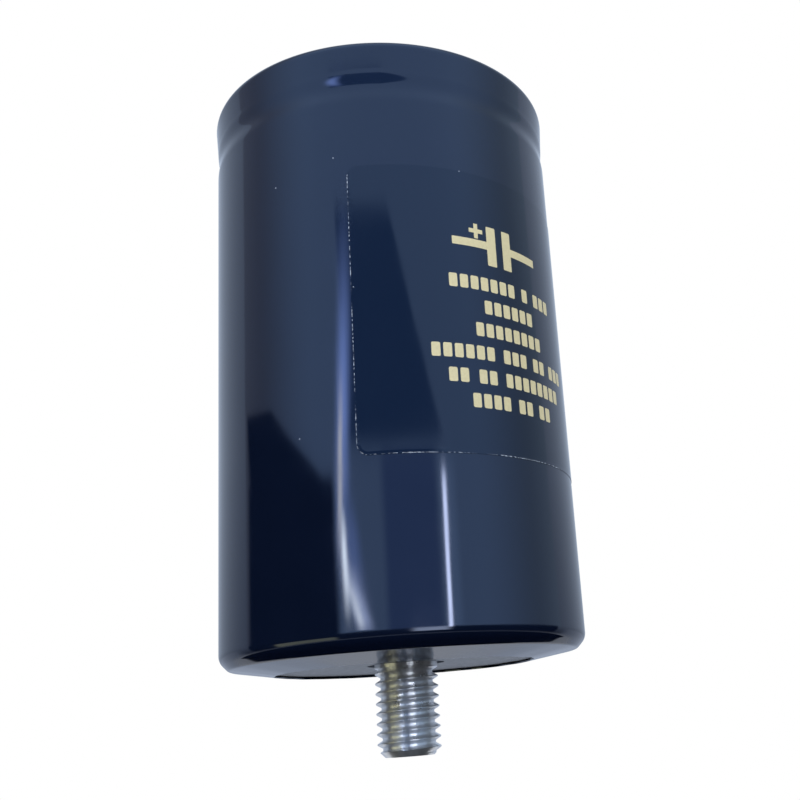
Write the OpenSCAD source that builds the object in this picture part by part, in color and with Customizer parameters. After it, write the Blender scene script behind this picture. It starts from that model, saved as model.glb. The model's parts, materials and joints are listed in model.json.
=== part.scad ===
// Screw-terminal aluminium electrolytic capacitor with a mounting stud, in millimetres.
// The origin is on the stud's axis, level with the lower face of the sleeve's lip.
// +Z runs up the axis to the terminals, and the label faces -Y.

/* [Can] */
// Outside diameter of the bare can
can_d = 65.5; // [62:0.5:72]
// Height of the can, from its base face to the top of the curled rim
can_h = 107; // [96:0.2:146]
// Thickness of the side wall
wall_t = 0.8; // [0.6:0.05:1]
// Thickness of the base
base_t = 3; // [2.5:0.1:4]
// Radius that the bevel round the base takes off
bevel_w = 1.45; // [1.2:0.05:1.8]
// Height of the bevel round the base
bevel_h = 1.5; // [1.2:0.05:1.8]
// Radius of the round between bevel and wall
bevel_round = 2.25; // [0.5:0.05:2.5]
// Leg of the fillet inside, between base and wall
floor_fillet = 1.2; // [0.8:0.1:1.6]

/* [Mounting stud] */
// Outside diameter of the thread
stud_d = 11.8; // [9.8:0.1:12]
// Length of the stud from the lower face of the base disc
stud_len = 16; // [12:0.5:24]
// Chamfer at the stud's end
stud_chamfer = 1.5; // [0.6:0.1:1.8]

/* [Bead] */
// Depth of the groove rolled into the wall
bead_depth = 2.6; // [2.2:0.1:3]
// Radius of the roller's nose, at the bottom of the groove
bead_nose_r = 1.4; // [1:0.1:1.6]
// Radius of each shoulder of the groove
bead_shoulder_r = 1.6; // [1.2:0.1:1.8]
// Slope of the groove's flanks, from the wall
bead_angle = 65; // [60:1:70]
// Distance from the top of the rim down to the middle of the groove
bead_drop = 9; // [8.7:0.1:9.6]

/* [Curled rim] */
// Outside radius of the curl's two bends
curl_r = 1.25; // [1.1:0.05:1.4]
// Width of the rim, from its outside to the curl's inner end
rim_w = 4.1; // [3.6:0.1:4.5]
// How far the curl stands out past the wall
curl_flare = 0.3; // [0:0.05:0.4]
// Length of the curl's straight end, which presses on the gasket
curl_end = 1.85; // [1.6:0.05:2]

/* [Sleeve] */
// Thickness of the shrunk sleeve
sleeve_t = 0.25; // [0.15:0.05:0.4]
// How far the sleeve's lip reaches in past the edge of the base disc's lower face
lip_w = 3.2; // [2:0.1:6]
// Width of the lip's flat end, which the part sits on
lip_flat = 0.6; // [0.4:0.1:1.5]
// How far the sleeve sinks over the bead
sleeve_dip = 0.45; // [0.2:0.05:0.6]
// Where the sleeve ends round the curl's inner bend, in degrees from the outside
sleeve_wrap = 135; // [105:15:150]

/* [Base disc] */
// Thickness of the insulating disc
disc_t = 0.8; // [0.5:0.05:1]
// Distance of the disc's edge from the inner edge of the bevel
disc_inset = 4.5; // [3.5:0.1:6]
// Radius of the hole round the stud
disc_hole_r = 7; // [6.5:0.1:9]
// Chamfer on the disc's lower edge
disc_edge = 0.4; // [0.2:0.1:0.5]

/* [Label] */
// Width of the label, along the curve
label_w = 58.6; // [40:0.2:90]
// Height of the label
label_h = 51.8; // [30:0.2:60]
// Height of the label's lower edge above the lip's lower face
label_z = 31.9; // [20:0.1:40]
// Thickness of the label film
label_t = 0.08; // [0.05:0.01:0.15]
// Radius of the label's corners
label_corner_r = 2; // [1:0.5:4]

/* [Deck] */
// Thickness of the deck's flange, between bead and gasket
flange_t = 1.5; // [1.2:0.1:1.8]
// Width of the gasket where it bulges up between the raised middle and the curl
bulge_w = 1.35; // [0.9:0.05:2]
// Height of the raised middle above the flange
plateau_h = 1.6; // [1:0.1:1.8]
// Thickness of the deck through its middle
deck_t = 6.4; // [5.5:0.1:8]
// Depth of the skirt below the deck's underside
skirt_h = 2.4; // [1.5:0.1:3]
// Thickness of the skirt
skirt_t = 2.4; // [1.5:0.1:3]
// Radius of the boss round each terminal, at the deck's face
boss_r = 9; // [8:0.1:10]
// Height of the boss above the deck's face
boss_h = 3; // [2:0.1:4]
// Draft on the boss's radius, over its height
boss_draft = 0.5; // [0:0.1:1]
// Height of the boss under the deck
under_boss_h = 2; // [1:0.1:3]

/* [Terminals] */
// Distance of each terminal's boss from the edge of the raised middle
boss_inset = 4.25; // [2:0.25:5]
// Height of the terminal faces above the rim
terminal_rise = 2.8; // [2:0.1:6]
// Radius of the contact face
contact_r = 6; // [5:0.1:7]
// Radius of the tapped hole's wall
tap_r = 2.1; // [2:0.05:2.5]
// Depth of the tapped hole
tap_depth = 10.5; // [8:0.1:12]
// Radius of the shank in the deck
shank_r = 4.6; // [4:0.1:5]
// Corner radius of the six-sided collar that stops the terminal turning
collar_r = 6.8; // [6:0.1:7]
// Thickness of the six-sided collar
collar_t = 2; // [1.5:0.1:3]
// Depth of the collar's upper face below the deck's face
collar_drop = 1.6; // [1:0.1:2.2]
// Radius of the tail that is riveted over below the deck
tail_r = 2.4; // [2:0.1:3]
// Radius of the riveted head
head_r = 3.5; // [3.3:0.1:4]
// Thickness of the riveted head
head_t = 1.1; // [0.8:0.1:1.5]
// Radius of the washer under the head
washer_r = 4.4; // [4.1:0.1:5]
// Thickness of the washer
washer_t = 1; // [0.5:0.1:1.5]

/* [Vent] */
// Distance of the plug's head from the edge of the raised middle
vent_inset = 5.8; // [3:0.1:7]
// Radius of the hole for the plug
vent_r = 3.6; // [3:0.1:4.5]
// How far the plug's head and foot overhang the hole
vent_overhang = 1.1; // [0.6:0.1:1.5]
// Height of the plug's head and of its foot
vent_cap_h = 1.4; // [1:0.1:2]

/* [Winding] */
// Radius of the hole left by the winding spindle
core_r = 4; // [3:0.5:6]
// Height between the winding and the bosses under the deck
tab_space = 9; // [8:0.5:14]
// Thickness of the tape round the winding
tape_t = 0.15; // [0.1:0.05:0.25]
// Height of bare winding above and below the tape
tape_margin = 14; // [8:1:25]
// Thickness of the pad under the winding
pad_t = 0.8; // [0.5:0.1:1.5]
// Thickness of the spacer on the winding
spacer_t = 1; // [0.6:0.1:1.5]

/* [Tabs] */
// Width of the foil tabs
tab_w = 8; // [6:0.5:9]
// Thickness of the stack of tabs
tab_t = 0.6; // [0.3:0.1:0.9]
// Distance of the tabs' fold outside the terminal
tab_reach = 8; // [7:0.1:9]
// Distance from the terminal to where the tabs leave the winding
tab_root = 5; // [4:0.1:6]

/* [Hidden] */
$fn = 96;

// Play between pieces that are slid or pressed together
play = 0.05;
// Room round a piece that drops in
loose = 0.3;
// Steps in each small arc and in the sleeve's sag, and degrees in a step round the curl's bends
arc_steps = 5;
dip_steps = 16;
curl_step = 15;
// Chamfers that break the edges of turned and moulded pieces
edge = 0.4;

// The lip's slope: a straight line from the bevel, past the disc's lower edge, to the lip's flat end
bevel_r = can_d / 2 - bevel_w;
disc_r = bevel_r - disc_inset;
lip_r = disc_r - disc_edge - lip_w;
lip_slope = (disc_t + play) / (disc_inset + disc_edge);

// Heights from the lip's lower face upwards
can_z = sleeve_t + lip_slope * (bevel_r - lip_r - lip_flat);
disc_z = can_z - disc_t;
can_top = can_z + can_h;
floor_z = can_z + base_t;
bead_z = can_top - bead_drop;
curl_z = can_top - curl_r;

// Radii of the can
can_r = can_d / 2;
can_in_r = can_r - wall_t;
curl_x = can_r + curl_flare - curl_r;
curl_tip_r = can_r + curl_flare - rim_w;
curl_in_x = curl_tip_r + curl_r;
stud_r = stud_d / 2;

// Half the width of the bead: two shoulders, two straight flanks and the nose
bead_flank = (bead_depth - (bead_nose_r + bead_shoulder_r) * (1 - cos(bead_angle))) / sin(bead_angle);
bead_half = (bead_nose_r + bead_shoulder_r) * sin(bead_angle) + bead_flank * cos(bead_angle);
nose_c = [can_r - bead_depth + bead_nose_r, bead_z];
shoulder_x = can_r - bead_shoulder_r;

// The upper flank inside the can, which is the seat for the deck
seat_in = nose_c + (bead_nose_r + wall_t) * [-cos(bead_angle), sin(bead_angle)];
seat_out = [shoulder_x, bead_z + bead_half]
         + (bead_shoulder_r - wall_t) * [cos(bead_angle), -sin(bead_angle)];

// Deck
spigot_r = can_r - bead_depth - wall_t - loose;
deck_r = can_in_r - loose / 2;
plateau_r = curl_tip_r - bulge_w - 2 * play;
flange_z = bead_z + bead_half;
flange_top = flange_z + flange_t;
deck_top = flange_top + plateau_h;
deck_under = deck_top - deck_t;
boss_top = deck_top + boss_h;
boss_under = deck_under - under_boss_h;
collar_z = deck_top - collar_drop - collar_t;

// Terminals and vent
terminal_x = plateau_r - boss_inset - boss_r;
vent_y = plateau_r - vent_inset - vent_r - vent_overhang;
terminal_top = can_top + terminal_rise;
tap_cone_h = tap_r * tan(30);
washer_z = boss_under - tab_t - washer_t;

// Winding, which fills the can up to the tabs' room
winding_r = can_in_r - floor_fillet - loose;
winding_z = floor_z + pad_t;
winding_top = boss_under - tab_space;

// A round of points about c, from angle a0 to a1
function arc(c, r, a0, a1, n) =
    [for (i = [0 : n]) let (a = a0 + (a1 - a0) * i / n) c + r * [cos(a), sin(a)]];

// The unit vector to the left of the way from p to q
function left_of(p, q) = let (d = (q - p) / norm(q - p)) [-d[1], d[0]];

// A path moved to its left by d, with mitred corners
function shifted(path, d) =
    [for (i = [0 : len(path) - 1])
        let (j = max(i, 1), k = min(i, len(path) - 2),
             n0 = left_of(path[j - 1], path[j]), n1 = left_of(path[k], path[k + 1]))
        path[i] + d * (n0 + n1) / (1 + n0 * n1)];

function reversed(list) = [for (i = [len(list) - 1 : -1 : 0]) list[i]];

// The outline of a sheet of thickness t that lies on the left of a path, or on its right for -t
function sheet(path, t) = concat(path, reversed(shifted(path, t)));

// The outside of the rolled groove, from its lower shoulder to its upper one
function bead_line() = concat(
    arc([shoulder_x, bead_z - bead_half], bead_shoulder_r, 0, bead_angle, arc_steps),
    arc(nose_c, bead_nose_r, 180 + bead_angle, 180 - bead_angle, 2 * arc_steps),
    arc([shoulder_x, bead_z + bead_half], bead_shoulder_r, -bead_angle, 0, arc_steps));

// The sleeve's shallow sag where it bridges the groove
function dip_line() =
    [for (i = [0 : dip_steps]) let (s = 2 * i / dip_steps - 1)
        [can_r - sleeve_dip * (1 + cos(180 * s)) / 2, bead_z + bead_half * s]];

// The round between bevel and wall, about a centre level with its upper end
function bevel_line() =
    let (turn = 90 - atan2(bevel_h, bevel_w))
    arc([can_r - bevel_round, can_z + bevel_h + bevel_round * tan(turn / 2)], bevel_round,
        -turn, 0, arc_steps);

// Round the curl's outer bend, over its flat top and round its inner bend, to the angle end
function curl_line(r, end) = concat(
    [for (a = [0 : curl_step : 90]) [curl_x, curl_z] + r * [cos(a), sin(a)]],
    [for (a = [90 : curl_step : end]) [curl_in_x, curl_z] + r * [cos(a), sin(a)]]);

// Impact-extruded can: base, bevel, wall, rolled bead and curled rim, with the stud in one piece
module can() {
    wall_line = concat([[can_r, floor_z + floor_fillet]], bead_line(), curl_line(curl_r, 180),
                       [[curl_tip_r, curl_z - curl_end]]);
    stud_end = disc_z - stud_len;
    color("silver")
    rotate_extrude()
    polygon(concat(
        [[0, stud_end], [stud_r - stud_chamfer, stud_end], [stud_r, stud_end + stud_chamfer],
         [stud_r, can_z], [bevel_r, can_z]],
        bevel_line(),
        sheet(wall_line, wall_t),
        [[can_in_r - floor_fillet, floor_z], [0, floor_z]]));
}

// Shrunk sleeve: a lip drawn in past the base disc, round the bevel, up the wall and over the curl
module sleeve() {
    inner_line = concat([[lip_r, sleeve_t], [lip_r + lip_flat, sleeve_t], [bevel_r, can_z]],
                        bevel_line(), dip_line(), curl_line(curl_r, sleeve_wrap));
    color("#2c3a55")
    rotate_extrude()
    polygon(sheet(inner_line, -sleeve_t));
}

// What a rounded corner takes off a sheet, seen from the middle of its quarter round
module corner_waste(r) {
    difference() {
        square(r + 1);
        circle(r + play);
    }
}

// Film label, wrapped on the sleeve about -Y
module label() {
    inner_r = can_r + sleeve_t;
    half_angle = label_w / 2 / inner_r * 180 / PI;
    corner_angle = label_corner_r / inner_r * 180 / PI;
    color("#1f2d4a")
    rotate([0, 0, -90])
    difference() {
        rotate([0, 0, -half_angle])
        rotate_extrude(angle = 2 * half_angle)
        translate([inner_r, label_z]) square([label_t, label_h]);
        for (side = [-1, 1], end = [0, 1])
            rotate([0, 0, side * (half_angle - corner_angle)])
            translate([inner_r - 1, 0, label_z + (end ? label_h - label_corner_r : label_corner_r)])
            rotate([90, 0, 90])
            linear_extrude(2)
            scale([side, end ? 1 : -1])
            corner_waste(label_corner_r);
    }
}

// Insulating disc between the can's base and the sleeve's lip
module base_disc() {
    color("#9a9ca3")
    rotate_extrude()
    polygon([[disc_hole_r, disc_z], [disc_r - disc_edge, disc_z], [disc_r, disc_z + disc_edge],
             [disc_r, can_z], [disc_hole_r, can_z]]);
}

// The shank and six-sided collar of a terminal, or with a gap the space that the deck leaves for them
module terminal_shank(gap) {
    translate([0, 0, boss_under - gap]) cylinder(r = shank_r + gap, h = boss_top - boss_under + 2 * gap);
    translate([0, 0, collar_z - gap]) cylinder(r = collar_r + 2 * gap, h = collar_t + 2 * gap, $fn = 6);
}

// Moulded deck: flange on the bead, raised middle, skirt, and a boss round each terminal
module deck() {
    skirt_z = deck_under - skirt_h;
    seat_angle_gap = play / sin(bead_angle);
    spigot_top = seat_in[1] - (seat_in[0] - spigot_r) / tan(bead_angle);
    color("#1c1c1e")
    difference() {
        union() {
            rotate_extrude()
            polygon([[0, deck_under], [spigot_r - skirt_t, deck_under], [spigot_r - skirt_t, skirt_z],
                     [spigot_r, skirt_z], [spigot_r, spigot_top + seat_angle_gap],
                     [seat_out[0], seat_out[1] + seat_angle_gap], [seat_out[0], flange_z],
                     [deck_r, flange_z], [deck_r, flange_top], [plateau_r, flange_top],
                     [plateau_r, deck_top - edge], [plateau_r - edge, deck_top], [0, deck_top]]);
            for (side = [-1, 1]) translate([side * terminal_x, 0, 0]) {
                translate([0, 0, deck_top - edge])
                cylinder(r1 = boss_r, r2 = boss_r - boss_draft, h = boss_h + edge);
                translate([0, 0, boss_under]) cylinder(r = boss_r - edge, h = under_boss_h + edge);
            }
        }
        for (side = [-1, 1]) translate([side * terminal_x, 0, 0]) terminal_shank(play);
        translate([0, vent_y, deck_under - 1]) cylinder(r = vent_r, h = deck_t + 2);
    }
}

// Rubber gasket, squeezed on the flange and up inside the curl
module deck_gasket() {
    inner_r = plateau_r + play;
    outer_r = can_in_r - play;
    nib_r = curl_r - wall_t - play;
    under_tip = curl_z - curl_end - play;
    bulge_r = bulge_w / 2;
    color("#26262a")
    rotate_extrude()
    polygon(concat(
        [[inner_r, flange_top], [outer_r, flange_top], [outer_r, curl_z]],
        curl_line(nib_r, 180),
        [[curl_in_x - nib_r, under_tip]],
        arc([inner_r + bulge_r, under_tip], bulge_r, 0, 180, 2 * arc_steps)));
}

// Rubber safety vent: a plug with a domed head and a barbed foot
module vent_plug() {
    neck_r = vent_r - play;
    cap_r = vent_r + vent_overhang;
    head_z = deck_top;
    foot_z = deck_under - play;
    color("#4a4a4e")
    translate([0, vent_y, 0])
    rotate_extrude()
    polygon([[0, foot_z - vent_cap_h], [neck_r - edge, foot_z - vent_cap_h], [cap_r, foot_z - edge],
             [cap_r, foot_z], [neck_r, foot_z], [neck_r, head_z], [cap_r, head_z],
             [cap_r, head_z + vent_cap_h - 2 * edge], [cap_r - edge, head_z + vent_cap_h - edge],
             [cap_r - 3 * edge, head_z + vent_cap_h], [0, head_z + vent_cap_h]]);
}

// Turned terminal: contact post, tapped hole, shank with collar, and the tail riveted over below
module terminal(side) {
    head_end = washer_z - head_t;
    tap_end = terminal_top - tap_depth;
    color("gainsboro")
    translate([side * terminal_x, 0, 0])
    difference() {
        union() {
            rotate_extrude()
            polygon([[0, head_end], [head_r - edge, head_end], [head_r, head_end + edge],
                     [head_r, washer_z], [tail_r, washer_z], [tail_r, boss_under], [shank_r, boss_under],
                     [shank_r, boss_top], [contact_r, boss_top], [contact_r, terminal_top - edge],
                     [contact_r - edge, terminal_top], [0, terminal_top]]);
            translate([0, 0, collar_z]) cylinder(r = collar_r, h = collar_t, $fn = 6);
        }
        rotate_extrude()
        polygon([[0, tap_end - tap_cone_h], [tap_r, tap_end], [tap_r, terminal_top - edge],
                 [tap_r + edge, terminal_top], [tap_r + edge, terminal_top + 1], [0, terminal_top + 1]]);
    }
}

// Washer between the tabs and the riveted head
module washer(side) {
    color("lightgray")
    translate([side * terminal_x, 0, washer_z])
    difference() {
        cylinder(r = washer_r, h = washer_t);
        translate([0, 0, -1]) cylinder(r = tail_r + play, h = washer_t + 2);
    }
}

// Stack of foil tabs, folded in an S from the winding up to the terminal's tail
module tabs(side) {
    flat_z = boss_under - tab_t / 2;
    rise = flat_z - winding_top;
    tab_path = [[-tab_w / 2, flat_z], [tab_reach - rise / 5, flat_z], [tab_reach, flat_z - rise / 6],
                [tab_reach, flat_z - rise / 3], [tab_root, flat_z - rise / 2],
                [tab_root, winding_top]];
    color("whitesmoke")
    translate([side * terminal_x, 0, 0])
    difference() {
        rotate([90, 0, 0])
        translate([0, 0, -tab_w / 2])
        linear_extrude(tab_w)
        scale([side, 1])
        polygon(concat(shifted(tab_path, tab_t / 2), reversed(shifted(tab_path, -tab_t / 2))));
        translate([0, 0, boss_under - tab_t - 1]) cylinder(r = tail_r + play, h = tab_t + 2);
    }
}

// Spacer on the winding, with a slot for each stack of tabs
module top_spacer() {
    color("#d9cfae")
    difference() {
        translate([0, 0, winding_top]) cylinder(r = winding_r, h = spacer_t);
        translate([0, 0, winding_top - 1]) cylinder(r = core_r, h = spacer_t + 2);
        for (side = [-1, 1])
            translate([side * (terminal_x + tab_root), 0, winding_top + spacer_t / 2])
            cube([tab_t + 2 * loose, tab_w + 2 * loose, spacer_t + 2], center = true);
    }
}

// Wound foils and papers, one roll with the spindle's hole
module winding() {
    color("#cbb98c")
    rotate_extrude()
    translate([core_r, winding_z]) square([winding_r - core_r, winding_top - winding_z]);
}

// Tape that closes the winding
module winding_tape() {
    tape_z = winding_z + tape_margin;
    color("#b58b3c")
    rotate_extrude()
    translate([winding_r, tape_z]) square([tape_t, winding_top - tape_margin - tape_z]);
}

// Pad between the winding and the can's base
module bottom_pad() {
    color("#d9cfae")
    rotate_extrude()
    translate([core_r, floor_z]) square([winding_r - core_r, pad_t]);
}

can();
sleeve();
label();
base_disc();
deck();
deck_gasket();
vent_plug();
terminal(1);  // positive_terminal
terminal(-1);  // negative_terminal
washer(1);  // positive_washer
washer(-1);  // negative_washer
tabs(1);  // positive_tabs
tabs(-1);  // negative_tabs
top_spacer();
winding();
winding_tape();
bottom_pad();
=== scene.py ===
# Screw-terminal aluminium electrolytic capacitor, dressed over its CAD model.
# Lengths are in millimetres, and heights run up from the lower face of the sleeve's lip.
import json
import math

import bmesh
import bpy
from mathutils import Matrix, Vector


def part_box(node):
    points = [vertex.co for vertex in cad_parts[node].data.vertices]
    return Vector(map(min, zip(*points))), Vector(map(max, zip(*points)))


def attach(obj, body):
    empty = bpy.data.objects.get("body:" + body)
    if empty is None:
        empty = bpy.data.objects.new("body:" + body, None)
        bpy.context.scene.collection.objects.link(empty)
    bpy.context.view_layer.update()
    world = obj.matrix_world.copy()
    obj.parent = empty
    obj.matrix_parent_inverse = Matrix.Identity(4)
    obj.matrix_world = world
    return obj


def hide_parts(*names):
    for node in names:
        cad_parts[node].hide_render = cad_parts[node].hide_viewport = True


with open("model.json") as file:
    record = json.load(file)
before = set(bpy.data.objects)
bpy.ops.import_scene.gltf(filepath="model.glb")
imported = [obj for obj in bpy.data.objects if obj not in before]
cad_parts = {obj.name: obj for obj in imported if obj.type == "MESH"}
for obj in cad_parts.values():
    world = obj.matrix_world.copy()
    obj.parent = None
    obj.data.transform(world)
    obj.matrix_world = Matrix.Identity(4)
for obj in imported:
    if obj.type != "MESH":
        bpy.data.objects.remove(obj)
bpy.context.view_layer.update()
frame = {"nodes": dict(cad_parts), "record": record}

MM = 0.001

# Sleeve. A tube of PVC film, slipped over the can and shrunk on with hot air. It sags a little
# where it bridges the rolled groove, rounds the curled rim, and ends in a lip under the base disc.
can_low, can_high = [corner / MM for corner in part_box("can")]
disc_low, disc_high = [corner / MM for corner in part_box("base_disc")]
label_low, label_high = [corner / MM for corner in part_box("label")]
label_t = 0.08
film_t = 0.25
lip_w, lip_sag = 3.2, 0.07
disc_edge = 0.4
bevel_w, bevel_h = 1.45, 1.5
base_round, wall_round = 0.75, 2.25
sag = 0.26
groove_drop = 9.0
groove_half = 3.12
curl_r, rim_w, curl_flare, curl_end = 1.25, 4.1, 0.3, 1.85
film_wrap = 135
skin_r = -label_low.y - label_t
can_r = skin_r - film_t
bevel_r = can_r - bevel_w
base_z = disc_high.z
lip_r = disc_high.x - disc_edge - lip_w
groove_z = can_high.z - groove_drop
curl_x = can_r + curl_flare - curl_r
curl_in_x = can_r + curl_flare - rim_w + curl_r
curl_z = can_high.z - curl_r


def beside(path, gap):
    """The path moved sideways, to its right, with its corners mitred."""
    moved = []
    for i, here in enumerate(path):
        ways = [path[j + 1] - path[j] for j in (max(i - 1, 0), min(i, len(path) - 2))]
        a, b = [Vector((way.y, -way.x)).normalized() for way in ways]
        moved.append(here + gap * (a + b) / (1 + a.dot(b)))
    return moved


def rounded(path, radii, steps=6):
    """The path with each corner turned into an arc of its own radius, or left sharp at 0."""
    smooth = []
    for i, (here, radius) in enumerate(zip(path, radii)):
        if radius == 0:
            smooth.append(here)
            continue
        back, on = (path[i - 1] - here).normalized(), (path[i + 1] - here).normalized()
        half = back.angle(on) / 2
        centre = here + (back + on).normalized() * radius / math.sin(half)
        start = (here + back * radius / math.tan(half) - centre).normalized()
        end = (here + on * radius / math.tan(half) - centre).normalized()
        smooth += [centre + radius * start.slerp(end, s / steps) for s in range(steps + 1)]
    return smooth


def arc(x, z, radius, start, end, steps):
    """Points on a round of the section, from one angle in degrees to another."""
    angles = [math.radians(start + (end - start) * s / steps) for s in range(steps + 1)]
    return [Vector((x + radius * math.cos(a), z + radius * math.sin(a))) for a in angles]


def turn(form, path, steps, closed=False, centre=(0, 0)):
    """Adds the skin that a path of radius and height leaves when it turns round an upright axis."""
    rings = []
    for r, z in path:
        angles = [2 * math.pi * s / steps for s in range(steps if r > 0 else 1)]
        spots = [(centre[0] + r * math.cos(a), centre[1] + r * math.sin(a), z) for a in angles]
        rings.append([form.verts.new(Vector(spot) * MM) for spot in spots])
    for low, high in zip(rings, rings[1:] + rings[:1] if closed else rings[1:]):
        for s in range(steps):
            corners = [low[s % len(low)], low[(s + 1) % steps % len(low)],
                       high[(s + 1) % steps % len(high)], high[s % len(high)]]
            kept = list(dict.fromkeys(corners))
            if len(kept) > 2:
                form.faces.new(kept)


def made(name, form, material, sharp=35):
    """Turns the form into a smooth-shaded object whose edges past the angle stay sharp."""
    bmesh.ops.remove_doubles(form, verts=form.verts, dist=0.0005 * MM)
    bmesh.ops.recalc_face_normals(form, faces=form.faces)
    mesh = bpy.data.meshes.new(name)
    form.to_mesh(mesh)
    form.free()
    mesh.shade_smooth()
    mesh.set_sharp_from_angle(angle=math.radians(sharp))
    mesh.materials.append(material)
    piece = bpy.data.objects.new(name, mesh)
    bpy.context.scene.collection.objects.link(piece)
    return piece


def linear(code):
    """The linear colour of an sRGB hex value."""
    parts = [int(code[i:i + 2], 16) / 255 for i in (1, 3, 5)]
    return [c / 12.92 if c <= 0.04045 else ((c + 0.055) / 1.055) ** 2.4 for c in parts] + [1.0]


def add(tree, kind, sockets, **settings):
    """Adds a node with its settings, and links or sets each socket named or numbered."""
    node = tree.nodes.new(kind)
    for key, value in settings.items():
        setattr(node, key, value)
    for key, value in sockets.items():
        if isinstance(value, bpy.types.NodeSocket):
            tree.links.new(value, node.inputs[key])
        else:
            node.inputs[key].default_value = value
    return node


def begin(name, **sockets):
    """A new material, its tree, its shader with its constant sockets set, and its coordinates."""
    material = bpy.data.materials.new(name)
    material.use_nodes = True
    tree = material.node_tree
    shader = tree.nodes["Principled BSDF"]
    for key, value in sockets.items():
        shader.inputs[key.replace("_", " ")].default_value = value
    place = add(tree, "ShaderNodeTexCoord", {}).outputs["Object"]
    return material, tree, shader, place


def link(tree, shader, **sockets):
    """Links each value to the shader's socket of that name."""
    for key, value in sockets.items():
        tree.links.new(value, shader.inputs[key.replace("_", " ")])


# Glossy PVC shrink film, dyed dark slate blue: a smooth skin that mirrors the room. The drawn can
# shows through it as fine upright lines, and dust and faint smears lie on it.
film, tree, shader, place = begin("shrunk_pvc_film", IOR=1.53, Specular_Tint=linear("#d5e3ff"))
line_w, line_len = 0.7, 30.0
upright = add(tree, "ShaderNodeVectorMath", {0: place, 1: (1, 1, line_w / line_len)}, operation="MULTIPLY")
lines = add(tree, "ShaderNodeTexNoise",
            {"Vector": upright.outputs[0], "Scale": 1 / (line_w * MM), "Detail": 3.0})
ripple_w = 14.0
ripple = add(tree, "ShaderNodeTexNoise", {"Vector": place, "Scale": 1 / (ripple_w * MM), "Detail": 1.0})
smear_w = 9.0
smears = add(tree, "ShaderNodeTexNoise", {"Vector": place, "Scale": 1 / (smear_w * MM), "Detail": 4.0})
gloss = add(tree, "ShaderNodeMapRange", {0: smears.outputs[0], 1: 0.35, 2: 0.75, 3: 0.055, 4: 0.10})
dust_gap, dust_size = 7.0, 0.02
dust = add(tree, "ShaderNodeTexVoronoi", {"Vector": place, "Scale": 1 / (dust_gap * MM)})
speck = add(tree, "ShaderNodeMath", {0: dust.outputs["Distance"], 1: dust_size}, operation="LESS_THAN")
body = add(tree, "ShaderNodeMix", {0: smears.outputs[0], 6: linear("#081022"), 7: linear("#0a1328")},
           data_type="RGBA")
skin = add(tree, "ShaderNodeMix", {0: speck.outputs[0], 6: body.outputs[2], 7: linear("#8f97a6")},
           data_type="RGBA")
fine = add(tree, "ShaderNodeBump", {"Height": lines.outputs[0], "Distance": 0.0012 * MM})
wavy = add(tree, "ShaderNodeBump", {"Height": ripple.outputs[0], "Distance": 0.03 * MM,
                                    "Normal": fine.outputs[0]})
link(tree, shader, Base_Color=skin.outputs[2], Roughness=gloss.outputs[0], Normal=wavy.outputs[0])

# The film's two faces, from the lip up. Rings of points close to the rounds hold the cone and the
# wall straight between them.
film_steps = 240
ring_gap, ring_share = Vector((0, 0.5)), 0.1
inside = [Vector((lip_r, film_t - lip_sag)), Vector((bevel_r, base_z)), Vector((can_r, base_z + bevel_h))]
groove = [groove_z + groove_half * (s / 12 - 1) for s in range(25)]
dips = [sag * (1 + math.cos(math.pi * (z - groove_z) / groove_half)) / 2 for z in groove]
outside = beside(inside + [Vector((can_r, groove[0]))], film_t)
outside = rounded(outside, [0, base_round + film_t, wall_round + film_t, 0])
outside[-1:] = [outside[-2] + ring_gap, outside[-1] - ring_gap, outside[-1]]
outside[1:1] = [outside[0].lerp(outside[1], 1 - ring_share / 2)]
outside += [Vector((skin_r - dip, z)) for dip, z in zip(dips, groove)][1:]
rim_foot = Vector((curl_x + curl_r + film_t, curl_z))
outside += [outside[-1].lerp(rim_foot, share) for share in (ring_share, 1 - ring_share)]
outside += arc(curl_x, curl_z, curl_r + film_t, 0, 90, 10)
outside += arc(curl_in_x, curl_z, curl_r + film_t, 90, film_wrap, 6)
under = rounded(inside + [Vector((can_r, groove[0]))], [0, base_round, wall_round, 0])
under += [Vector((can_r - dip, z)) for dip, z in zip(dips, groove)][1:]
under += arc(curl_x, curl_z, curl_r, 0, 90, 10) + arc(curl_in_x, curl_z, curl_r, 90, film_wrap, 6)
form = bmesh.new()
turn(form, outside + under[::-1], film_steps, closed=True)

# The film's cut edges are slightly wavy, the lip's more than the one inside the rim.
cut_wave, rim_share = 0.25, 0.4
lip_reach, rim_r, rim_reach = 3.0, 29.2, 1.2
for vert in form.verts:
    away = math.hypot(vert.co.x, vert.co.y) / MM
    around = math.atan2(vert.co.y, vert.co.x)
    wave = math.sin(5 * around + 1) + 0.6 * math.sin(11 * around) + 0.4 * math.sin(23 * around + 2)
    at_lip = max(0, 1 - (away - lip_r) / lip_reach) if vert.co.z / MM < 1 else 0
    at_rim = max(0, 1 - (away - rim_r) / rim_reach) if vert.co.z / MM > curl_z else 0
    vert.co.xy *= 1 + cut_wave * wave * (at_lip - rim_share * at_rim) / away
sleeve = made("sleeve_film", form, film)
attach(sleeve, "root")
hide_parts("sleeve")

# Label. Polyester film with rounded corners, rolled on to the sleeve by hand. Its cut edge stands
# a hair proud, and air is trapped in small bubbles along its left side and lower edge.
label_w = 58.6
label_corner = 2.0
label_z, label_top = label_low.z, label_high.z
face_r = -label_low.y
bubble_w, bubble_band, bubble_h = 0.5, 0.6, 0.03
# The painted highlight along the cut runs this wide, in patches of this size
glint_edge_w, glint_tract_w = 0.13, 7.0


def wrapped(u, z, r):
    """The place on a cylinder whose u runs round from the label's middle, which faces -Y."""
    return Vector((r * math.sin(u / skin_r), -r * math.cos(u / skin_r), z)) * MM


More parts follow.
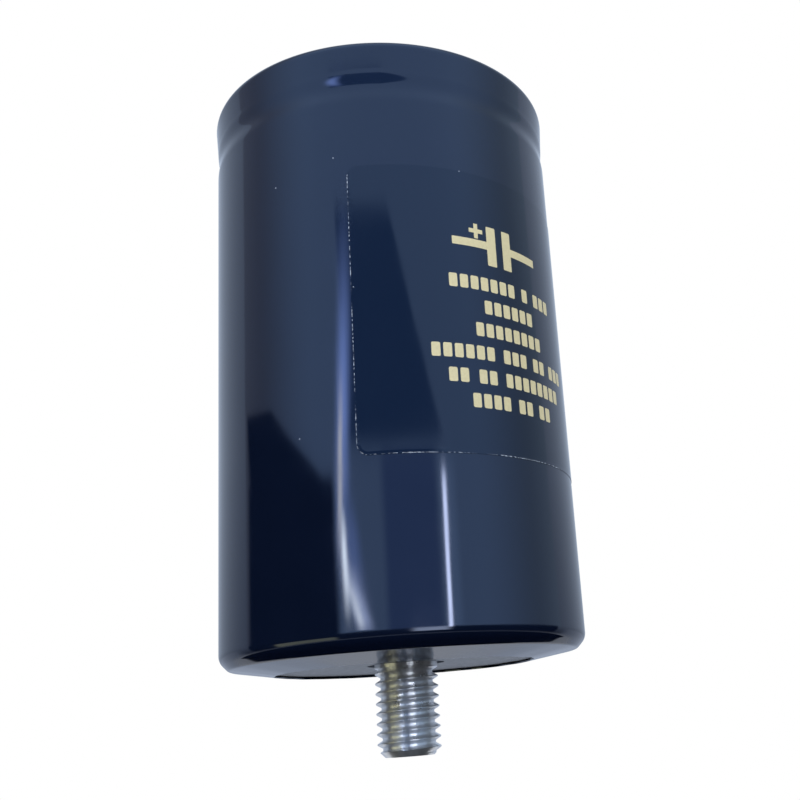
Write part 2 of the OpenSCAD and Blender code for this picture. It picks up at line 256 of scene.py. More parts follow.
def lay(form, left, right, low, high, corner, inner_r, outer_r, step=0.8):
    """Adds a thin sheet with rounded corners, bent on the cylinder between two radii."""
    bends = [corner * (1 - math.cos(math.pi * s / 16)) for s in range(9)]
    fill = max(1, round((right - left - 2 * corner) / step))
    middle = [left + corner + (right - left - 2 * corner) * s / fill for s in range(fill + 1)]
    columns = sorted({round(u, 5) for u in [left + b for b in bends] + middle + [right - b for b in bends]})
    rows = max(1, round((high - low) / step))
    sheets = []
    for r in (inner_r, outer_r):
        sheet = []
        for u in columns:
            cut = corner - math.sqrt(max(0, corner ** 2 - max(0, corner - u + left, corner - right + u) ** 2))
            heights = [low + cut + (high - low - 2 * cut) * s / rows for s in range(rows + 1)]
            sheet.append([form.verts.new(wrapped(u, z, r)) for z in heights])
        sheets.append(sheet)
    inner, outer = sheets
    for i in range(len(columns) - 1):
        for sheet in sheets:
            for j in range(rows):
                form.faces.new([sheet[i][j], sheet[i + 1][j], sheet[i + 1][j + 1], sheet[i][j + 1]])
        for j in (0, rows):
            form.faces.new([inner[i][j], inner[i + 1][j], outer[i + 1][j], outer[i][j]])
    for i in (0, len(columns) - 1):
        for j in range(rows):
            form.faces.new([inner[i][j], inner[i][j + 1], outer[i][j + 1], outer[i][j]])


# Gloss polyester label film, navy: darker and flatter than the sleeve. Its edge has lifted off in tiny
# bubbles, and the glints along its cut are a painted highlight, pale dashes laid into its colour.
label_film, tree, shader, place = begin("gloss_polyester_film", IOR=1.5, Specular_Tint=linear("#cfe0ff"))
# How far a spot lies from the label's left and lower edges, round their corner, in millimetres
spot = add(tree, "ShaderNodeSeparateXYZ", {0: place})
toward = add(tree, "ShaderNodeMath", {0: spot.outputs[1], 1: -1.0}, operation="MULTIPLY")
around = add(tree, "ShaderNodeMath", {0: spot.outputs[0], 1: toward.outputs[0]}, operation="ARCTAN2")
from_left = add(tree, "ShaderNodeMath", {0: around.outputs[0], 1: skin_r, 2: label_w / 2},
                operation="MULTIPLY_ADD")
from_low = add(tree, "ShaderNodeMath", {0: spot.outputs[2], 1: 1 / MM, 2: -label_z}, operation="MULTIPLY_ADD")
from_edges = add(tree, "ShaderNodeCombineXYZ", {0: from_left.outputs[0], 1: from_low.outputs[0]})
past = add(tree, "ShaderNodeVectorMath", {0: (label_corner, label_corner, 0), 1: from_edges.outputs[0]},
           operation="SUBTRACT")
past = add(tree, "ShaderNodeVectorMath", {0: past.outputs[0], 1: (0, 0, 0)}, operation="MAXIMUM")
past = add(tree, "ShaderNodeVectorMath", {0: past.outputs[0]}, operation="LENGTH")
nearest = add(tree, "ShaderNodeMath", {0: label_corner, 1: past.outputs["Value"]}, operation="SUBTRACT")
# Bubbles lift the film beside those edges, and broken glints along the cut are painted highlights in its
# colour
lifted = add(tree, "ShaderNodeMapRange", {0: nearest.outputs[0], 1: 0.0, 2: bubble_band, 3: 1.0, 4: 0.0})
bubbles = add(tree, "ShaderNodeTexNoise", {"Vector": place, "Scale": 1 / (bubble_w * MM), "Detail": 2.0})
height = add(tree, "ShaderNodeMath", {0: lifted.outputs[0], 1: bubbles.outputs[0]}, operation="MULTIPLY")
ripple = add(tree, "ShaderNodeTexNoise", {"Vector": place, "Scale": 1 / (ripple_w * MM), "Detail": 1.0})
wavy = add(tree, "ShaderNodeBump", {"Height": ripple.outputs[0], "Distance": 0.03 * MM})
bumpy = add(tree, "ShaderNodeBump", {"Height": height.outputs[0], "Distance": bubble_h * MM,
                                     "Normal": wavy.outputs[0]})
dust = add(tree, "ShaderNodeTexVoronoi", {"Vector": place, "Scale": 1 / (dust_gap * MM)})
speck = add(tree, "ShaderNodeMath", {0: dust.outputs["Distance"], 1: dust_size}, operation="LESS_THAN")
painted_glint_rim = add(tree, "ShaderNodeMath", {0: nearest.outputs[0], 1: glint_edge_w}, operation="LESS_THAN")
painted_glint_dashes = add(tree, "ShaderNodeMapRange", {0: bubbles.outputs[0], 1: 0.46, 2: 0.60})
painted_glint_tracts = add(tree, "ShaderNodeTexNoise", {"Vector": place, "Scale": 1 / (glint_tract_w * MM), "Detail": 1.0})
painted_glint_spread = add(tree, "ShaderNodeMapRange", {0: painted_glint_tracts.outputs[0], 1: 0.38, 2: 0.55})
painted_glint_patches = add(tree, "ShaderNodeMath", {0: painted_glint_dashes.outputs[0], 1: painted_glint_spread.outputs[0]}, operation="MULTIPLY")
painted_glint = add(tree, "ShaderNodeMath", {0: painted_glint_rim.outputs[0], 1: painted_glint_patches.outputs[0]}, operation="MULTIPLY")
dust_and_painted_glint = add(tree, "ShaderNodeMath", {0: speck.outputs[0], 1: painted_glint.outputs[0]}, operation="MAXIMUM")
# Dust specks and the painted highlight along the cut edge both turn the film's colour pale
skin = add(tree, "ShaderNodeMix", {0: dust_and_painted_glint.outputs[0], 6: linear("#071022"), 7: linear("#b4becd")},
           data_type="RGBA")
smears = add(tree, "ShaderNodeTexNoise", {"Vector": place, "Scale": 1 / (smear_w * MM), "Detail": 4.0})
gloss = add(tree, "ShaderNodeMapRange", {0: smears.outputs[0], 1: 0.35, 2: 0.75, 3: 0.05, 4: 0.09})
link(tree, shader, Base_Color=skin.outputs[2], Roughness=gloss.outputs[0], Normal=bumpy.outputs[0])

form = bmesh.new()
lay(form, -label_w / 2, label_w / 2, label_z, label_top, label_corner, skin_r, face_r)
label = made("label_sheet", form, label_film)
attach(label, "root")
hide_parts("label")

# Print on the label. Pale gold ink, laid down by a screen: a plain circuit symbol of a capacitor
# above rows of bare blocks, where the real one has lettering. The screen's mesh leaves it faintly
# grainy and duller than the film.
ink_t = 0.02
ink_r = face_r + ink_t
block_h, block_w, block_corner = 2.5, 1.55, 0.3
block_gap, word_gap = 0.5, 2.0
words_of_rows = [(7, 1, 3), (6,), (8,), (6, 3, 2, 3), (2, 2, 8), (4, 2, 2)]
first_row_top, row_pitch = 63.8, 4.28
ink, tree, shader, place = begin("pale_gold_screen_ink", IOR=1.48)
grain_w = 0.35
grain = add(tree, "ShaderNodeTexNoise", {"Vector": place, "Scale": 1 / (grain_w * MM), "Detail": 2.0})
tone = add(tree, "ShaderNodeMix", {0: grain.outputs[0], 6: linear("#c4ba8e"), 7: linear("#dcd3a8")},
           data_type="RGBA")
rough = add(tree, "ShaderNodeMapRange", {0: grain.outputs[0], 1: 0.3, 2: 0.7, 3: 0.35, 4: 0.5})
mesh_mark = add(tree, "ShaderNodeBump", {"Height": grain.outputs[0], "Distance": 0.004 * MM})
link(tree, shader, Base_Color=tone.outputs[2], Roughness=rough.outputs[0], Normal=mesh_mark.outputs[0])

form = bmesh.new()
for row, words in enumerate(words_of_rows):
    top = first_row_top - row * row_pitch
    blocks = sum(words)
    width = blocks * block_w + (blocks - len(words)) * block_gap + (len(words) - 1) * word_gap
    u = -width / 2
    for count in words:
        for _ in range(count):
            lay(form, u, u + block_w, top - block_h, top, block_corner, face_r, ink_r)
            u += block_w + block_gap
        u += word_gap - block_gap
symbol_u, symbol_z = -1.7, 70.1
plate_w, plate_h, plate_gap, plate_corner = 2.0, 7.5, 1.6, 0.2
lead_w, lead_len, lead_corner = 1.5, 7.0, 0.1
sign_w, sign_len, sign_corner = 0.8, 1.0, 0.1
sign_left, sign_up = 2.2, 2.4
for side in (-1, 1):
    near, far = symbol_u + side * plate_gap / 2, symbol_u + side * (plate_gap / 2 + plate_w)
    end = far + side * lead_len
    lay(form, min(near, far), max(near, far), symbol_z - plate_h / 2, symbol_z + plate_h / 2,
        plate_corner, face_r, ink_r)
    lay(form, min(far, end), max(far, end), symbol_z - lead_w / 2, symbol_z + lead_w / 2,
        lead_corner, face_r, ink_r)
sign_u, sign_z = symbol_u - plate_gap / 2 - plate_w - sign_left, symbol_z + sign_up
lay(form, sign_u - sign_w / 2, sign_u + sign_w / 2, sign_z - sign_len - sign_w / 2,
    sign_z + sign_len + sign_w / 2, sign_corner, face_r, ink_r)
for side in (-1, 1):
    near, far = sign_u + side * sign_w / 2, sign_u + side * (sign_w / 2 + sign_len)
    lay(form, min(near, far), max(near, far), sign_z - sign_w / 2, sign_z + sign_w / 2,
        sign_corner / 2, face_r, ink_r)
label_print = made("label_print", form, ink)
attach(label_print, "root")

# Can. Pure aluminium, struck from a slug in one blow with its stud and drawn smooth. Its wall is
# rolled in to a bead that carries the deck, then curled over the gasket. The stud is turned and cut
# with an M12 by 1.75 thread.
wall_t, base_t = 0.8, 3.0
groove_depth, nose_r, shoulder_r, flank_angle = 2.6, 1.4, 1.6, 65
corner_w, stud_round = 1.2, 0.3
can_steps = 144
stud_r, root_r, tip_r = 5.7, 4.72, 4.35
thread_end, pitch, run_out, crest_drop = 0.25, 1.75, 0.9, 0.17
thread_rows, crest_half = 16, 1 / 16
flank_lean = math.tan(math.radians(30))


def cut_thread(form, pitch, low, high, radius, steps, rows, centre=(0, 0)):
    """Adds the wall of a right-hand thread: rows of points climb with the helix, and the ends are flat."""
    turns = math.ceil((high - low) / pitch)
    grid = []
    for j in range(-rows, (turns + 1) * rows + 1):
        line = []
        for s in range(steps):
            a = 2 * math.pi * s / steps
            z = min(high, max(low, low + (j / rows + s / steps) * pitch))
            r = radius(abs((j / rows + 0.5 + crest_drop / pitch) % 1 - 0.5), z)
            spot = Vector((centre[0] + r * math.cos(a), centre[1] + r * math.sin(a), z))
            line.append(form.verts.new(spot * MM))
        grid.append(line)
    for j in range(len(grid) - 1 - rows):
        for s in range(steps):
            a, b = (grid[j], grid[j + 1]) if s < steps - 1 else (grid[j + rows], grid[j + rows + 1])
            form.faces.new([grid[j][s], a[(s + 1) % steps], b[(s + 1) % steps], grid[j + 1][s]])


def stud_radius(phase, z):
    """The stud's radius at a share of a pitch from a crest, between the end's bevel and the run-out."""
    slope = pitch * (phase - crest_half) / flank_lean
    cut = min(max(slope, 0), stud_r - root_r)
    fade = min(1, max(0, (z - thread_end + run_out) / run_out))
    return min(stud_r - cut * (1 - fade ** 2), tip_r + z - can_low.z)


# Bright aluminium: drawn smooth on the can, and turned on the stud, where rings from the tool and
# a little staining show. The finest rings only stretch its highlights. A metal's colour is all in
# its mirror, so the base stays near white.
aluminium, tree, shader, place = begin("turned_aluminium", Metallic=0.88, Anisotropic=0.8,
                                       Anisotropic_Rotation=0.25)
round_it = add(tree, "ShaderNodeTangent", {}, direction_type="RADIAL", axis="Z")
ring_w = 0.16
around_axis = add(tree, "ShaderNodeVectorMath", {0: place, 1: (0.02, 0.02, 1)}, operation="MULTIPLY")
rings = add(tree, "ShaderNodeTexNoise",
            {"Vector": around_axis.outputs[0], "Scale": 1 / (ring_w * MM), "Detail": 2.0})
stain_w = 3.0
stains = add(tree, "ShaderNodeTexNoise", {"Vector": place, "Scale": 1 / (stain_w * MM), "Detail": 5.0})
tone = add(tree, "ShaderNodeMix", {0: stains.outputs[0], 6: linear("#cdd0d4"), 7: linear("#eceef0")},
           data_type="RGBA")
rough = add(tree, "ShaderNodeMapRange", {0: stains.outputs[0], 1: 0.3, 2: 0.7, 3: 0.26, 4: 0.38})
tool = add(tree, "ShaderNodeBump", {"Height": rings.outputs[0], "Distance": 0.012 * MM})
link(tree, shader, Base_Color=tone.outputs[2], Roughness=rough.outputs[0], Normal=tool.outputs[0],
     Tangent=round_it.outputs[0])

shoulder_x = can_r - shoulder_r
nose_x = can_r - groove_depth + nose_r
wall = arc(shoulder_x, groove_z - groove_half, shoulder_r, 0, flank_angle, 6)
wall += arc(nose_x, groove_z, nose_r, 180 + flank_angle, 180 - flank_angle, 10)
wall += arc(shoulder_x, groove_z + groove_half, shoulder_r, -flank_angle, 0, 6)
wall += arc(curl_x, curl_z, curl_r, 0, 90, 8) + arc(curl_in_x, curl_z, curl_r, 90, 180, 8)
wall += [Vector((curl_in_x - curl_r, curl_z - curl_end))]
floor_z = base_z + base_t
foot = [(stud_r, thread_end), (stud_r, base_z), (bevel_r, base_z), (can_r, base_z + bevel_h),
        (can_r, floor_z + corner_w)]
foot = rounded([Vector(spot) for spot in foot], [0, stud_round, base_round, wall_round, 0])
floor_line = [Vector((can_r - wall_t - corner_w, floor_z)), Vector((0, floor_z))]
form = bmesh.new()
turn(form, foot + wall + beside(wall, -wall_t)[::-1] + floor_line, can_steps)
turn(form, [Vector((0, can_low.z)), Vector((tip_r, can_low.z))], can_steps)
cut_thread(form, pitch, can_low.z, thread_end, stud_radius, can_steps, thread_rows)
can = made("can_shell", form, aluminium)
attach(can, "root")
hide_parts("can")

# Base disc. A washer of grey fibre sheet, stamped out, that insulates the can from the chassis. The
# sleeve's lip grips its edge, so it bows down a little between lip and stud. Pressed fibre is satin,
# with paler flecks.
fibre, tree, shader, place = begin("grey_fibre_sheet", IOR=1.5)
fleck_w = 0.9
flecks = add(tree, "ShaderNodeTexNoise", {"Vector": place, "Scale": 1 / (fleck_w * MM), "Detail": 6.0})
tone = add(tree, "ShaderNodeMix", {0: flecks.outputs[0], 6: linear("#4e5767"), 7: linear("#697382")},
           data_type="RGBA")
rough = add(tree, "ShaderNodeMapRange", {0: flecks.outputs[0], 1: 0.3, 2: 0.7, 3: 0.3, 4: 0.42})
pressed = add(tree, "ShaderNodeBump", {"Height": flecks.outputs[0], "Distance": 0.01 * MM})
link(tree, shader, Base_Color=tone.outputs[2], Roughness=rough.outputs[0], Normal=pressed.outputs[0])
# Each pair is a radius and how far the disc hangs there
hole_r = 7.0
sags = [(hole_r, 0.0), (14.0, 0.12), (19.0, 0.28), (23.0, 0.35), (24.0, 0.31), (25.0, 0.22), (26.0, 0.07),
        (disc_high.x - disc_edge, 0.0)]
under_face = [Vector((r, disc_low.z - dip)) for r, dip in sags]
under_face += [Vector((disc_high.x, disc_low.z + disc_edge))]
upper_face = [Vector((r, base_z - dip)) for r, dip in sags]
upper_face += [Vector((disc_high.x, base_z))]
form = bmesh.new()
turn(form, under_face + upper_face[::-1], can_steps, closed=True)
disc = made("fibre_disc", form, fibre)
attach(disc, "root")
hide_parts("base_disc")

# Deck. Black phenolic, moulded under heat round the terminals' collars, so its flange, bosses and
# skirt are one piece. The mould leaves it satin, with a faint mineral fleck.
phenolic, tree, shader, place = begin("moulded_phenolic", IOR=1.6)
fleck_w = 0.5
flecks = add(tree, "ShaderNodeTexNoise", {"Vector": place, "Scale": 1 / (fleck_w * MM), "Detail": 4.0})
tone = add(tree, "ShaderNodeMix", {0: flecks.outputs[0], 6: linear("#141416"), 7: linear("#242427")},
           data_type="RGBA")
rough = add(tree, "ShaderNodeMapRange", {0: flecks.outputs[0], 1: 0.3, 2: 0.7, 3: 0.34, 4: 0.5})
moulded = add(tree, "ShaderNodeBump", {"Height": flecks.outputs[0], "Distance": 0.008 * MM})
link(tree, shader, Base_Color=tone.outputs[2], Roughness=rough.outputs[0], Normal=moulded.outputs[0])


def dress(material, *names):
    """Gives pieces of the CAD model, which stay as they are, their material."""
    for name in names:
        mesh = frame["nodes"][name].data
        mesh.materials.clear()
        mesh.materials.append(material)


dress(phenolic, "deck")

# Polarity marks. A plus and a minus stand out of the deck, each on the label's side of its terminal.
# They are phenolic, moulded in one piece with the deck, with edges that the mould rounds a little.
mark_h, mark_w, mark_len, mark_y, mark_round = 0.35, 1.1, 4.4, -13.6, 0.12
boss_h = 3.0
plateau_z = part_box("deck")[1].z / MM - boss_h
terminal_x = frame["record"]["mounts"][2]["pos_m"][0] / MM
form = bmesh.new()
a, b = mark_len / 2, mark_w / 2
minus = [(a, -b), (a, b), (-a, b), (-a, -b)]
plus = [(a, -b), (a, b), (b, b), (b, a), (-b, a), (-b, b),
        (-a, b), (-a, -b), (-b, -b), (-b, -a), (b, -a), (b, -b)]
for x, outline in ((-terminal_x, minus), (terminal_x, plus)):
    foot = form.faces.new([form.verts.new(Vector((x + u, mark_y + v, plateau_z)) * MM) for u, v in outline])
    raised = bmesh.ops.extrude_face_region(form, geom=[foot])["geom"]
    corners = [part for part in raised if isinstance(part, bmesh.types.BMVert)]
    bmesh.ops.translate(form, vec=(0, 0, mark_h * MM), verts=corners)
marks = made("polarity_marks", form, phenolic)
edges = marks.modifiers.new("moulded_edges", "BEVEL")
edges.width = mark_round * MM
edges.segments = 2
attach(marks, "root")

# Gasket. A ring of black rubber, squeezed by the curl until it bulges between rim and deck. Rubber
# is dull, with a soft bloom.
rubber, tree, shader, place = begin("black_nitrile_rubber", IOR=1.52)
bloom_w = 1.5
bloom = add(tree, "ShaderNodeTexNoise", {"Vector": place, "Scale": 1 / (bloom_w * MM), "Detail": 5.0})
tone = add(tree, "ShaderNodeMix", {0: bloom.outputs[0], 6: linear("#1c1c1f"), 7: linear("#303034")},
           data_type="RGBA")
rough = add(tree, "ShaderNodeMapRange", {0: bloom.outputs[0], 1: 0.3, 2: 0.7, 3: 0.55, 4: 0.75})
cast = add(tree, "ShaderNodeBump", {"Height": bloom.outputs[0], "Distance": 0.02 * MM})
link(tree, shader, Base_Color=tone.outputs[2], Roughness=rough.outputs[0], Normal=cast.outputs[0])
dress(rubber, "deck_gasket")

# Vent plug. Dark grey silicone, moulded with a domed head and a barbed foot, and pushed through a
# hole in the deck. It blows out if the can's pressure rises. Its skin is dull and a little cloudy.
silicone, tree, shader, place = begin("grey_silicone_rubber", IOR=1.43)
bloom = add(tree, "ShaderNodeTexNoise", {"Vector": place, "Scale": 1 / (bloom_w * MM), "Detail": 5.0})
tone = add(tree, "ShaderNodeMix", {0: bloom.outputs[0], 6: linear("#414145"), 7: linear("#57575c")},
           data_type="RGBA")
rough = add(tree, "ShaderNodeMapRange", {0: bloom.outputs[0], 1: 0.3, 2: 0.7, 3: 0.5, 4: 0.65})
link(tree, shader, Base_Color=tone.outputs[2], Roughness=rough.outputs[0])
dress(silicone, "vent_plug")

# Terminals. Aluminium posts, turned from bar and tapped M5 by 0.8, each with a six-sided collar that
# the deck's moulding grips and a tail that is riveted over the washer.
post_low, post_high = [corner.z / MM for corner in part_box("positive_terminal")]
contact_r, contact_h, post_edge = 6.0, 2.58, 0.4
shank_r, tail_r, tail_h = 4.6, 2.4, 1.6
head_r, head_h = 3.5, 1.1
collar_r, collar_h, collar_top = 6.8, 2.0, 7.17
tap_r, tap_depth, thread_len = 2.1, 10.5, 9.0
tap_pitch, tap_cut, mouth_half = 0.8, 0.4, 3 / 8
fade_in, fade_out = 0.8, 0.2
post_steps, tap_rows, collar_sides = 72, 8, 6
thread_low, thread_high = post_high - thread_len, post_high - post_edge
collar_low = post_high - collar_top - collar_h
drill_tip = tap_r * flank_lean


def tapped_radius(phase, z):
    """The tapped hole's radius at a share of a pitch from a groove's middle, faded out at both ends."""
    cut = min(max(tap_pitch * (mouth_half - phase) / flank_lean, 0), tap_cut)
    fade = min(1, (z - thread_low) / fade_in, (thread_high - z) / fade_out)
    return tap_r + cut * max(0, fade)


for side, sign in ((1, "positive"), (-1, "negative")):
    spot = (side * terminal_x, 0)
    form = bmesh.new()
    turn(form, [(0, post_low), (head_r - post_edge, post_low), (head_r, post_low + post_edge),
                (head_r, post_low + head_h), (tail_r, post_low + head_h),
                (tail_r, post_low + head_h + tail_h), (shank_r, post_low + head_h + tail_h),
                (shank_r, post_high - contact_h), (contact_r, post_high - contact_h),
                (contact_r, post_high - post_edge), (contact_r - post_edge, post_high),
                (tap_r + post_edge, post_high), (tap_r, thread_high)], post_steps, centre=spot)
    cut_thread(form, tap_pitch, thread_low, thread_high, tapped_radius, post_steps, tap_rows, spot)
    turn(form, [(tap_r, thread_low), (tap_r, post_high - tap_depth),
                (0, post_high - tap_depth - drill_tip)], post_steps, centre=spot)
    turn(form, [(shank_r, collar_low), (collar_r, collar_low), (collar_r, collar_low + collar_h),
                (shank_r, collar_low + collar_h)], collar_sides, closed=True, centre=spot)
    post = made(sign + "_post", form, aluminium)
    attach(post, "root")
    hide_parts(sign + "_terminal")

# Washers. Stamped from aluminium like the posts', one between the tabs and each terminal's riveted
# head, so that riveting doesn't tear the foil.
dress(aluminium, "positive_washer", "negative_washer")

# Tabs. Soft foil, bright and creased, slit from the plates in stacks. Each stack is folded in an S
# from the winding up to its terminal, and its end is clamped under the terminal's shank.
foil, tree, shader, place = begin("soft_aluminium_foil", Metallic=1.0)
crease_w = 2.0
creases = add(tree, "ShaderNodeTexNoise", {"Vector": place, "Scale": 1 / (crease_w * MM), "Detail": 3.0})
tone = add(tree, "ShaderNodeMix", {0: creases.outputs[0], 6: linear("#c9cbcf"), 7: linear("#e4e5e8")},
           data_type="RGBA")
rough = add(tree, "ShaderNodeMapRange", {0: creases.outputs[0], 1: 0.3, 2: 0.7, 3: 0.22, 4: 0.38})
creased = add(tree, "ShaderNodeBump", {"Height": creases.outputs[0], "Distance": 0.05 * MM})
link(tree, shader, Base_Color=tone.outputs[2], Roughness=rough.outputs[0], Normal=creased.outputs[0])
dress(foil, "positive_tabs", "negative_tabs")

# Winding, spacer, pad and tape. Foil and kraft paper wound on a spindle and soaked in electrolyte,
# with boards of kraft at its ends and amber film round it. Soaked kraft is dull and fibrous, and the
# turns show as rings on the winding's ends, drawn a little coarser than real ones so that they show.
kraft, tree, shader, place = begin("soaked_kraft_paper", IOR=1.45, Roughness=0.8)
turn_w, fibre_w = 0.35, 0.5
spot = add(tree, "ShaderNodeSeparateXYZ", {0: place})
flat = add(tree, "ShaderNodeCombineXYZ", {0: spot.outputs[0], 1: spot.outputs[1], 2: 0.0})
away = add(tree, "ShaderNodeVectorMath", {0: flat.outputs[0]}, operation="LENGTH")
turns = add(tree, "ShaderNodeMath", {0: away.outputs["Value"], 1: 2 * math.pi / (turn_w * MM)},
            operation="MULTIPLY")
layers = add(tree, "ShaderNodeMath", {0: turns.outputs[0]}, operation="SINE")
fibres = add(tree, "ShaderNodeTexNoise", {"Vector": place, "Scale": 1 / (fibre_w * MM), "Detail": 6.0})
weave = add(tree, "ShaderNodeMath", {0: layers.outputs[0], 1: 0.3, 2: fibres.outputs[0]},
            operation="MULTIPLY_ADD")
tone = add(tree, "ShaderNodeMix", {0: weave.outputs[0], 6: linear("#b09a68"), 7: linear("#cdbb8c")},
           data_type="RGBA")
woven = add(tree, "ShaderNodeBump", {"Height": weave.outputs[0], "Distance": 0.03 * MM})
link(tree, shader, Base_Color=tone.outputs[2], Normal=woven.outputs[0])
dress(kraft, "winding", "top_spacer", "bottom_pad")

# Amber polyimide film, thin and smooth, with blotches where the electrolyte has wetted it.
amber, tree, shader, place = begin("amber_polyimide_film", IOR=1.6)
blot_w = 0.5
blots = add(tree, "ShaderNodeTexNoise", {"Vector": place, "Scale": 1 / (blot_w * MM), "Detail": 3.0})
tone = add(tree, "ShaderNodeMix", {0: blots.outputs[0], 6: linear("#a36c1d"), 7: linear("#b98232")},
           data_type="RGBA")
rough = add(tree, "ShaderNodeMapRange", {0: blots.outputs[0], 1: 0.3, 2: 0.7, 3: 0.15, 4: 0.25})
link(tree, shader, Base_Color=tone.outputs[2], Roughness=rough.outputs[0])
dress(amber, "winding_tape")

# Floor. A plain, pale, matt sheet, well under the stud, that keeps the object's shadow. It clears
# with distance, so that no far edge of it shows.
floor_drop = 250.0
floor_half = 6000.0
plaster, tree, shader, place = begin("pale_floor", Roughness=0.9, Base_Color=linear("#f4f4f5"))
fade_from, fade_to = 300.0, 900.0
far_off = add(tree, "ShaderNodeVectorMath", {0: place}, operation="LENGTH")
cleared = add(tree, "ShaderNodeMapRange",
              {0: far_off.outputs["Value"], 1: fade_from * MM, 2: fade_to * MM, 3: 1.0, 4: 0.0},
              interpolation_type="SMOOTHSTEP")
link(tree, shader, Alpha=cleared.outputs[0])
form = bmesh.new()
bmesh.ops.create_grid(form, x_segments=1, y_segments=1, size=floor_half * MM,
                      matrix=Matrix.Translation((0, 0, -floor_drop * MM)))
floor = made("floor", form, plaster)

# Camera. It stands a little below the base and looks up past the stud, with the label to its right.
# Its place, turn, lens and shift were fitted to the outline of the can, the base and the rim.
camera_place = Vector((-126.32, -150.54, -10.53))
camera_heading, camera_pitch, camera_roll = 45.98, 15.69, -4.32
camera_data = bpy.data.cameras.new("camera")
camera_data.sensor_width = 36.0
camera_data.lens = 47.23
camera_data.shift_x = -0.1257
camera_data.shift_y = 0.0324
camera_data.clip_start = 1 * MM
camera = bpy.data.objects.new("camera", camera_data)
bpy.context.scene.collection.objects.link(camera)
camera.matrix_world = (Matrix.Translation(camera_place * MM)
                       @ Matrix.Rotation(math.radians(-camera_heading), 4, "Z")
                       @ Matrix.Rotation(math.radians(90 + camera_pitch), 4, "X")
                       @ Matrix.Rotation(math.radians(camera_roll), 4, "Z"))
bpy.context.scene.camera = camera

# Cards. Glossy surfaces show what stands round them, so bright and dark cards hang round the part,
# each by its reach, its azimuth from the camera's side and its elevation. Only reflections see them,
# and the two flags at the end also keep the floor's light off the base.
card_centre = Vector((0, 0, 40))
front = math.atan2(camera_place.x, -camera_place.y)


def card(name, reach, azimuths, elevations, colour, strength, soft=(0.0, 0.0), lean=(0.0, 0.0)):
    """Hangs a card on a sphere round the part: its edges fade over shares of its size, and its sides lean."""
    steps = 24
    form = bmesh.new()
    sheet = form.loops.layers.uv.new("fade")
    grid = []
    for j in range(steps + 1):
        rise = math.radians(elevations[0] + (elevations[1] - elevations[0]) * j / steps)
        left, right = [side + shift * j / steps for side, shift in zip(azimuths, lean)]
        line = []
        for i in range(steps + 1):
            a = front + math.radians(left + (right - left) * i / steps)
            way = Vector((math.sin(a) * math.cos(rise), -math.cos(a) * math.cos(rise), math.sin(rise)))
            line.append(form.verts.new((card_centre + way * reach) * MM))
        grid.append(line)
    for j in range(steps):
        for i in range(steps):
            face = form.faces.new([grid[j][i], grid[j][i + 1], grid[j + 1][i + 1], grid[j + 1][i]])
            for loop, (s, t) in zip(face.loops, ((i, j), (i + 1, j), (i + 1, j + 1), (i, j + 1))):
                loop[sheet].uv = (s / steps, t / steps)
    glow = bpy.data.materials.new(name)
    glow.use_nodes = True
    tree = glow.node_tree
    tree.nodes.clear()
    light = add(tree, "ShaderNodeEmission", {"Color": linear(colour), "Strength": strength})
    shown = light.outputs[0]
    if any(soft):
        spread = add(tree, "ShaderNodeUVMap", {}, uv_map="fade")
        parts = add(tree, "ShaderNodeSeparateXYZ", {0: spread.outputs[0]})
        fades = []
        for axis in (0, 1):
            mirrored = add(tree, "ShaderNodeMath", {0: parts.outputs[axis], 1: 0.5}, operation="PINGPONG")
            fade_end = max(soft[axis] / 2, 0.001)
            fades.append(add(tree, "ShaderNodeMapRange", {0: mirrored.outputs[0], 1: 0.0, 2: fade_end},
                             interpolation_type="SMOOTHSTEP"))
        both = add(tree, "ShaderNodeMath", {0: fades[0].outputs[0], 1: fades[1].outputs[0]},
                   operation="MULTIPLY")
        clear = add(tree, "ShaderNodeBsdfTransparent", {}).outputs[0]
        shown = add(tree, "ShaderNodeMixShader", {0: both.outputs[0], 1: clear, 2: shown}).outputs[0]
    add(tree, "ShaderNodeOutputMaterial", {0: shown})
    hung = made(name, form, glow)
    hung.visible_camera = False
    hung.visible_diffuse = False
    hung.visible_shadow = False
    return hung


card("room_wall", 3000, (-95.0, 95.0), (2.5, 80.0), "#bedbff", 1.72, (0.5, 0.0))
card("left_wall", 3100, (-108.2, -40.0), (2.5, 80.0), "#dfe9ff", 0.5)
card("right_wall", 3100, (40.0, 112.0), (2.5, 80.0), "#d0e8ff", 0.7)
card("dark_low", 3050, (-106.0, 108.0), (-32.0, 2.5), "#05070b", 1.0)
card("dark_corner", 420, (-104.0, -33.0), (-10.0, 11.0), "#05070b", 1.0, (0.12, 0.0), (0.0, -3.0))
card("dark_slope", 425, (-104.0, -37.0), (10.4, 16.6), "#05070b", 1.0, (0.2, 0.15), (0.0, -44.0))
card("dim_low", 2600, (-12.0, 27.0), (2.5, 14.4), "#a0c1ff", 1.13, (0.3, 0.0))
card("dim_high", 2500, (-30.0, 33.5), (14.2, 28.8), "#6f98d0", 1.15, (0.12, 0.2), (-4.0, -32.0))
card("tall_strip", 2200, (-43.5, -31.0), (5.0, 29.5), "#aac2ff", 9.0, (1.0, 1.0), (11.5, 11.5))
card("tall_core", 2150, (-39.7, -35.3), (7.0, 20.0), "#fff4e8", 11.0, (0.9, 0.9), (6.0, 6.0))
card("hook_haze", 2190, (-37.0, -16.0), (4.0, 13.0), "#a9c4ff", 4.0, (0.9, 0.9), (0.0, -10.0))
card("hook_foot", 2180, (-27.0, -12.0), (3.4, 8.0), "#dfe6ff", 10.0, (0.8, 0.6), (-11.0, -17.0))
card("hook_core", 2170, (-35.5, -29.0), (4.2, 12.0), "#f2f0e8", 26.0, (1.0, 0.9), (-1.5, -3.0))
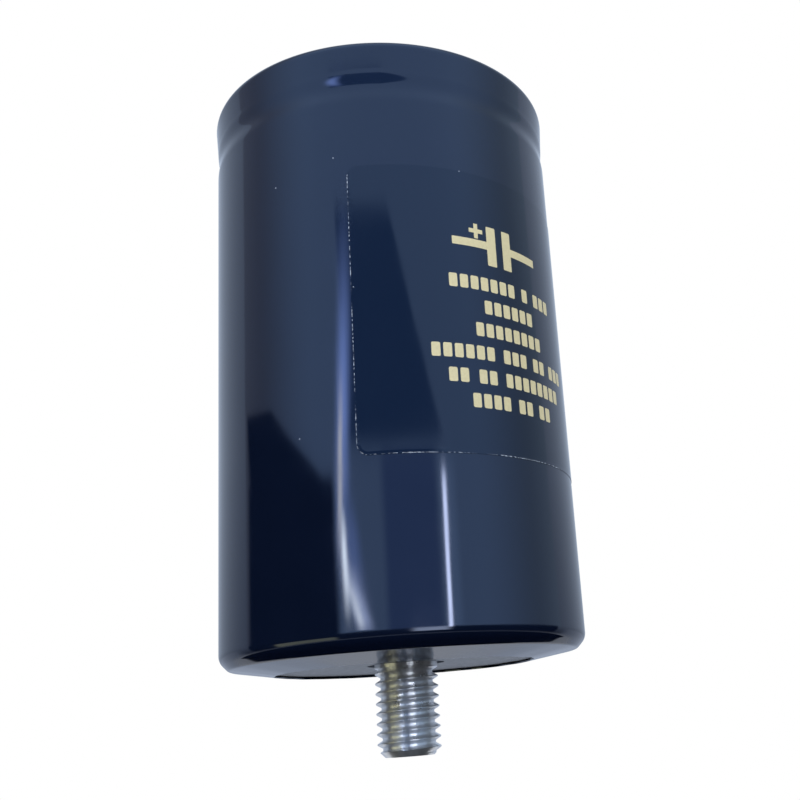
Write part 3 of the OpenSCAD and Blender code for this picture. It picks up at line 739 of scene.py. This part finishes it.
card("hook_bend", 2175, (-26.5, -19.5), (4.0, 7.2), "#f2f0e8", 20.0, (1.0, 0.5), (-9.0, -11.0))
card("short_strip", 2200, (25.5, 29.4), (1.5, 13.2), "#f2f2ff", 23.0, (0.9, 0.12), (1.2, 1.2))
card("short_haze", 2250, (23.0, 38.0), (2.5, 14.5), "#bedbff", 2.4, (0.8, 0.3))
card("warm_low", 2300, (-85.0, -38.0), (-24.0, 0.0), "#d8d3a6", 2.3, (0.2, 0.3))
card("pale_low", 2300, (2.0, 30.0), (-8.0, 2.5), "#eef3ff", 6.0, (0.5, 0.0))
card("back_low", 3200, (112.0, 248.0), (-40.0, -1.0), "#a9b4c8", 1.1, (0.2, 0.2))
card("floor_flag", 230, (-125.0, 125.0), (-88.0, -32.0), "#020305", 1.0).visible_diffuse = True
card("under_flag", 230, (125.0, 235.0), (-89.0, -55.0), "#020305", 1.0).visible_diffuse = True

# Light. One broad soft lamp from the upper left and the pale room give a plain, even level. Glossy
# surfaces don't show the lamp, and the camera sees plain white behind the part.
key_size, key_power = 900.0, 9.0
key_place = Vector((-900, -700, 1000))
key_data = bpy.data.lights.new("key", "AREA")
key_data.size = key_size * MM
key_data.energy = key_power
key = bpy.data.objects.new("key", key_data)
bpy.context.scene.collection.objects.link(key)
key.location = key_place * MM
key.rotation_euler = (card_centre * MM - key.location).to_track_quat("-Z", "Y").to_euler()
key.visible_glossy = False
world = bpy.data.worlds.new("room")
world.use_nodes = True
bpy.context.scene.world = world
tree = world.node_tree
tree.nodes.clear()
path = add(tree, "ShaderNodeLightPath", {})
seen = add(tree, "ShaderNodeMath", {0: path.outputs["Is Camera Ray"], 1: path.outputs["Is Transmission Ray"]},
           operation="MAXIMUM")
way = add(tree, "ShaderNodeTexCoord", {}).outputs["Generated"]
height = add(tree, "ShaderNodeSeparateXYZ", {0: way})
rise = add(tree, "ShaderNodeMapRange", {0: height.outputs[2], 1: -0.3, 2: 0.25})
room = add(tree, "ShaderNodeMix", {0: rise.outputs[0], 6: linear("#6b7280"), 7: linear("#c3d2e8")},
           data_type="RGBA")
mirrored = add(tree, "ShaderNodeMix",
               {0: path.outputs["Is Glossy Ray"], 6: linear("#eceef2"), 7: room.outputs[2]},
               data_type="RGBA")
shade = add(tree, "ShaderNodeMix", {0: seen.outputs[0], 6: mirrored.outputs[2], 7: linear("#ffffff")},
            data_type="RGBA")
back = add(tree, "ShaderNodeBackground", {"Color": shade.outputs[2], "Strength": 1.0})
add(tree, "ShaderNodeOutputWorld", {0: back.outputs[0]})
bpy.context.scene.view_settings.view_transform = "Standard"
